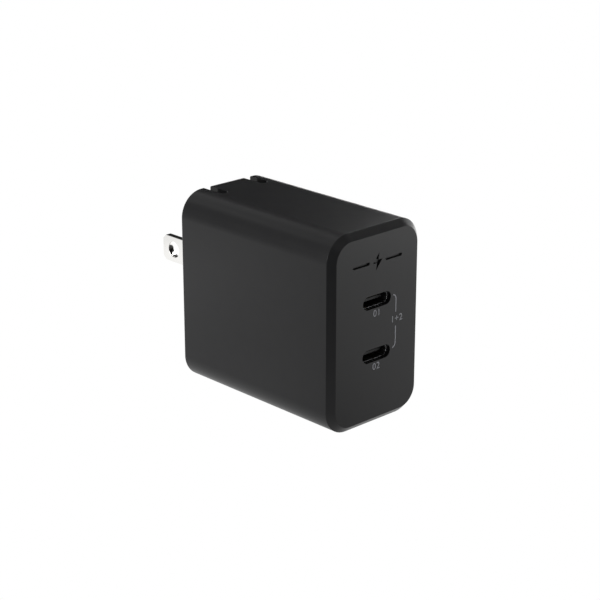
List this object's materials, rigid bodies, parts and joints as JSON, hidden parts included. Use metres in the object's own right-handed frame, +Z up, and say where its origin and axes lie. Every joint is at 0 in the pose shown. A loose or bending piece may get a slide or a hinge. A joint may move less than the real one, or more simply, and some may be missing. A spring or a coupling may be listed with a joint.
{
  "type": "usb wall charger",
  "caption": "Rounded box-shaped mains charger with folding flat blades at the rear, stacked USB-C ports in a chamfered front cover, and its power electronics inside.",
  "frame": {"origin": "middle of the flat bottom face", "axes": "+X across the ports, to the right when the ports are faced from behind the body looking along +Y; +Y from the port face to the blade face, along the open blades; +Z up"},
  "size_m": [0.0288, 0.0664, 0.047],
  "materials": {
    "casing_plastic": "fine-textured moulded plastic, charcoal black",
    "blade_metal": "nickel-plated brass, satin",
    "shaft_nylon": "moulded glass-filled nylon",
    "retainer_plastic": "moulded plastic",
    "screw_steel": "zinc-plated steel",
    "spring_steel": "rolled spring steel",
    "spring_bronze": "rolled phosphor bronze",
    "circuit_board": "glass-fibre board with green solder mask",
    "port_steel": "nickel-plated stainless steel sheet",
    "port_plastic": "black liquid-crystal polymer",
    "contact_gold": "gold-plated copper",
    "ferrite": "sintered ferrite, grey",
    "bobbin_plastic": "moulded phenolic",
    "copper_wire": "enamelled copper wire",
    "insulated_wire": "triple-insulated copper wire",
    "capacitor_sleeve": "aluminium can in a dark blue sleeve",
    "capacitor_can": "bare aluminium can",
    "film_capacitor_case": "yellow moulded case",
    "blue_ceramic": "blue epoxy-dipped ceramic disc",
    "choke_ferrite": "ferrite ring, green coat",
    "fuse_ceramic": "ceramic tube with metal caps",
    "chip_epoxy": "black moulded epoxy",
    "white_epoxy": "white moulded epoxy",
    "moulded_inductor": "pressed iron powder, grey",
    "chip_ceramic": "sintered ceramic, tan",
    "header_plastic": "moulded black nylon",
    "spreader_copper": "rolled copper sheet",
    "film_sheet": "polyester film",
    "silicone_pad": "soft silicone gap filler"
  },
  "bodies": {
    "casing": {"housing": "casing_plastic", "front_cover": "casing_plastic", "shaft_retainer": "retainer_plastic", "retainer_screws": "screw_steel", "detent_spring": "spring_steel", "left_contact_spring": "spring_bronze", "right_contact_spring": "spring_bronze", "input_board": "circuit_board", "main_board": "circuit_board", "port_board": "circuit_board", "upper_port_shell": "port_steel", "upper_port_tongue": "port_plastic", "upper_port_contacts": "contact_gold", "lower_port_shell": "port_steel", "lower_port_tongue": "port_plastic", "lower_port_contacts": "contact_gold", "transformer_core": "ferrite", "transformer_bobbin": "bobbin_plastic", "transformer_primary": "copper_wire", "transformer_secondary": "insulated_wire", "front_bulk_capacitor": "capacitor_sleeve", "middle_bulk_capacitor": "capacitor_sleeve", "rear_bulk_capacitor": "capacitor_sleeve", "front_output_capacitor": "capacitor_can", "rear_output_capacitor": "capacitor_can", "filter_capacitor": "film_capacitor_case", "safety_capacitor": "blue_ceramic", "choke_core": "choke_ferrite", "choke_winding": "copper_wire", "surge_absorber": "blue_ceramic", "fuse": "fuse_ceramic", "bridge_rectifier": "chip_epoxy", "power_switch": "chip_epoxy", "primary_controller": "chip_epoxy", "optocoupler": "white_epoxy", "synchronous_rectifier": "chip_epoxy", "upper_port_inductor": "moulded_inductor", "lower_port_inductor": "moulded_inductor", "upper_port_controller": "chip_epoxy", "lower_port_controller": "chip_epoxy", "chip_resistors": "chip_epoxy", "chip_capacitors": "chip_ceramic", "board_header": "header_plastic", "heat_spreader": "spreader_copper", "insulating_sheet": "film_sheet", "thermal_pad": "silicone_pad"},
    "blades": {"left_blade": "blade_metal", "right_blade": "blade_metal", "pivot_shaft": "shaft_nylon"}
  },
  "joints": [
    {"name": "blade_fold", "type": "hinge", "parent": "casing", "child": "blades", "pos_m": [0, 0.02235, 0.0281], "axis": [1, 0, 0], "range_deg": [0, 90], "deforming": ["detent_spring"]}
  ]
}
